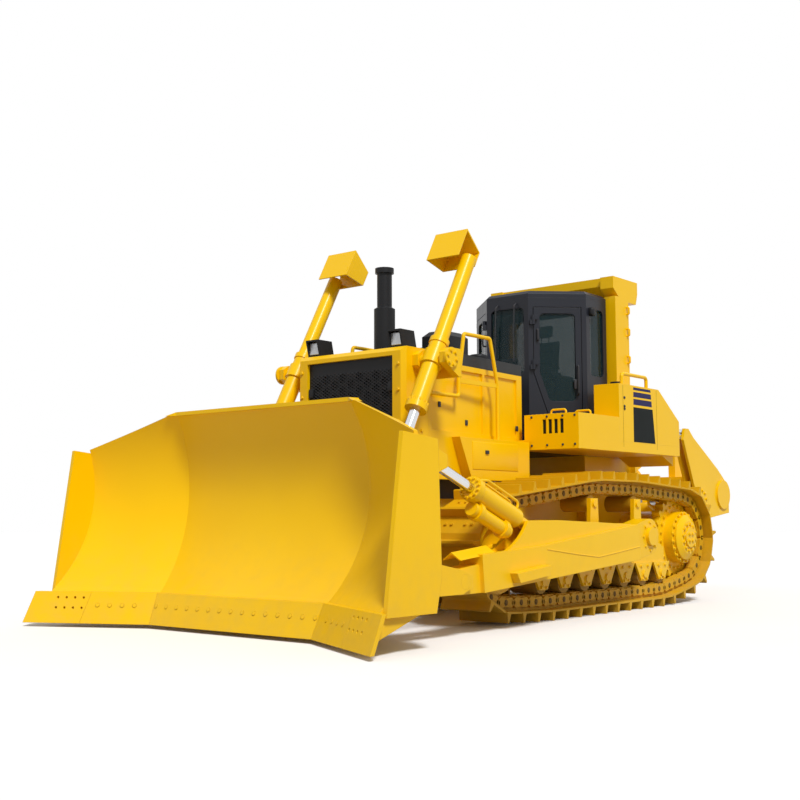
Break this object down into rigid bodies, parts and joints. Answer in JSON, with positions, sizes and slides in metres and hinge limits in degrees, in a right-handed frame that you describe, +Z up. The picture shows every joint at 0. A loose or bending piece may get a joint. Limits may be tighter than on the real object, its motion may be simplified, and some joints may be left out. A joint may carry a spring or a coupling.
{
  "type": "crawler bulldozer",
  "caption": "Large crawler bulldozer with a semi-U blade on push arms, lift and tilt cylinders, a six-sided cab under a roll-over frame and a single-shank parallelogram ripper.",
  "frame": {"origin": "on the ground, at the middle of the machine's length and width", "axes": "+X towards the machine's left side, +Y towards its rear, +Z up"},
  "size_m": [4.7, 10.3656, 4.2],
  "materials": {
    "yellow": "gloss enamel",
    "glass": "tinted",
    "black": "satin black",
    "charcoal": "satin charcoal",
    "seat": "woven",
    "iron": "as cast",
    "chrome": "ground and plated",
    "steel": "bare"
  },
  "bodies": {
    "tractor": {"air_intake": "black", "cab_floor": "charcoal", "cab_glass": "glass", "cab_roof": "charcoal", "cab_walls": "charcoal", "engine_block": "iron", "engine_sides": "yellow", "exhaust_stack": "black", "fenders": "yellow", "grille": "black", "handrails": "yellow", "head_lamps": "black", "hood": "black", "idlers": "yellow", "main_frame": "yellow", "operator_seat": "seat", "radiator_guard": "yellow", "rear_tank": "yellow", "ripper_bracket": "yellow", "ripper_lug_pins": "steel", "ripper_lugs": "yellow", "rollers": "yellow", "rops": "yellow", "side_tanks": "yellow", "sprockets": "yellow", "track_frames": "yellow", "track_left": "yellow", "track_right": "yellow", "yoke_brackets": "yellow"},
    "push_frame": {"push_arms": "yellow"},
    "blade": {"blade": "yellow", "blade_ears": "yellow", "blade_pins": "steel", "cutting_edges": "yellow", "end_bits": "yellow"},
    "lift_barrel_left": {"lift_barrel_left": "yellow"},
    "lift_rod_left": {"lift_rod_left": "chrome"},
    "tilt_barrel_left": {"tilt_barrel_left": "yellow"},
    "tilt_rod_left": {"tilt_rod_left": "chrome"},
    "door_left": {"cab_door_left": "charcoal", "door_glass_left": "glass"},
    "lift_barrel_right": {"lift_barrel_right": "yellow"},
    "lift_rod_right": {"lift_rod_right": "chrome"},
    "tilt_barrel_right": {"tilt_barrel_right": "yellow"},
    "tilt_rod_right": {"tilt_rod_right": "chrome"},
    "door_right": {"cab_door_right": "charcoal", "door_glass_right": "glass"},
    "ripper_arm": {"ripper_arm": "yellow"},
    "ripper_beam": {"ripper_beam": "yellow", "ripper_side_plates": "yellow", "ripper_shank": "steel", "ripper_pins": "steel"},
    "ripper_lift_barrels": {"ripper_lift_barrels": "yellow"},
    "ripper_lift_rods": {"ripper_lift_rods": "chrome"},
    "ripper_tilt_links": {"ripper_tilt_barrels": "yellow", "ripper_tilt_rods": "chrome"}
  },
  "joints": [
    {"name": "blade_lift", "type": "hinge", "parent": "tractor", "child": "push_frame", "pos_m": [0, 0.33, 0.87], "axis": [-1, 0, 0], "range_deg": [-8.8, 19.8]},
    {"name": "blade_pitch", "type": "hinge", "parent": "push_frame", "child": "blade", "pos_m": [0, -3.345, 0.51], "axis": [-1, 0, 0], "range_deg": [-5, 5]},
    {"name": "lift_yoke_left", "type": "hinge", "parent": "tractor", "child": "lift_barrel_left", "pos_m": [0.98, -2.62, 2.72], "axis": [-1, 0, 0], "range_deg": [-10.25, 22.35]},
    {"name": "lift_rod_slide_left", "type": "slide", "parent": "lift_barrel_left", "child": "lift_rod_left", "axis": [0, -0.4796, -0.8775], "range_m": [-1.1966, 0.5346]},
    {"name": "lift_yoke_right", "type": "hinge", "parent": "tractor", "child": "lift_barrel_right", "pos_m": [-0.98, -2.62, 2.72], "axis": [-1, 0, 0], "range_deg": [-10.25, 22.35]},
    {"name": "lift_rod_slide_right", "type": "slide", "parent": "lift_barrel_right", "child": "lift_rod_right", "axis": [0, -0.4796, -0.8775], "range_m": [-1.1966, 0.5346]},
    {"name": "tilt_base_left", "type": "hinge", "parent": "push_frame", "child": "tilt_barrel_left", "pos_m": [1.76, -1.96, 0.95], "axis": [-1, 0, 0], "range_deg": [-2.47, 2.47]},
    {"name": "tilt_rod_slide_left", "type": "slide", "parent": "tilt_barrel_left", "child": "tilt_rod_left", "axis": [0, -0.9322, 0.3619], "range_m": [-0.0845, 0.0845]},
    {"name": "tilt_base_right", "type": "hinge", "parent": "push_frame", "child": "tilt_barrel_right", "pos_m": [-1.76, -1.96, 0.95], "axis": [-1, 0, 0], "range_deg": [-2.47, 2.47]},
    {"name": "tilt_rod_slide_right", "type": "slide", "parent": "tilt_barrel_right", "child": "tilt_rod_right", "axis": [0, -0.9322, 0.3619], "range_m": [-0.0845, 0.0845]},
    {"name": "door_hinge_left", "type": "hinge", "parent": "tractor", "child": "door_left", "pos_m": [0.3768, 0.2004, 2.34], "axis": [0, 0, -1], "range_deg": [0, 75]},
    {"name": "door_hinge_right", "type": "hinge", "parent": "tractor", "child": "door_right", "pos_m": [-0.3768, 0.2004, 2.34], "axis": [0, 0, 1], "range_deg": [0, 75]},
    {"name": "ripper_lift", "type": "hinge", "parent": "tractor", "child": "ripper_arm", "pos_m": [0, 2.74, 0.9], "axis": [1, 0, 0], "range_deg": [-45, 25]},
    {"name": "ripper_level", "type": "hinge", "parent": "ripper_arm", "child": "ripper_beam", "pos_m": [0, 4.23, 1.33], "axis": [1, 0, 0], "range_deg": [-25.57, 45.57]},
    {"name": "ripper_lift_base", "type": "hinge", "parent": "tractor", "child": "ripper_lift_barrels", "pos_m": [0, 2.33, 1.5], "axis": [1, 0, 0], "range_deg": [-27.23, 15.38]},
    {"name": "ripper_lift_slide", "type": "slide", "parent": "ripper_lift_barrels", "child": "ripper_lift_rods", "axis": [0, 0.9915, -0.13], "range_m": [-0.2085, 0.3714]},
    {"name": "ripper_tilt_base", "type": "hinge", "parent": "tractor", "child": "ripper_tilt_links", "pos_m": [0, 2.3, 1.86], "axis": [1, 0, 0], "range_deg": [-45.57, 25.57]}
  ],
  "couplings": [
    {"joint": "lift_yoke_left", "follows": "blade_lift", "ratio": 1.1},
    {"joint": "lift_rod_slide_left", "follows": "blade_lift", "m_per_rad": -3.4482},
    {"joint": "lift_yoke_right", "follows": "blade_lift", "ratio": 1.1},
    {"joint": "lift_rod_slide_right", "follows": "blade_lift", "m_per_rad": -3.4482},
    {"joint": "tilt_base_left", "follows": "blade_pitch", "ratio": 0.3791},
    {"joint": "tilt_rod_slide_left", "follows": "blade_pitch", "m_per_rad": -0.9112},
    {"joint": "tilt_base_right", "follows": "blade_pitch", "ratio": 0.3791},
    {"joint": "tilt_rod_slide_right", "follows": "blade_pitch", "m_per_rad": -0.9112},
    {"joint": "ripper_level", "follows": "ripper_lift", "ratio": -1},
    {"joint": "ripper_lift_base", "follows": "ripper_lift", "ratio": 0.5924},
    {"joint": "ripper_lift_slide", "follows": "ripper_lift", "m_per_rad": -0.4665},
    {"joint": "ripper_tilt_base", "follows": "ripper_lift", "ratio": 1}
  ]
}
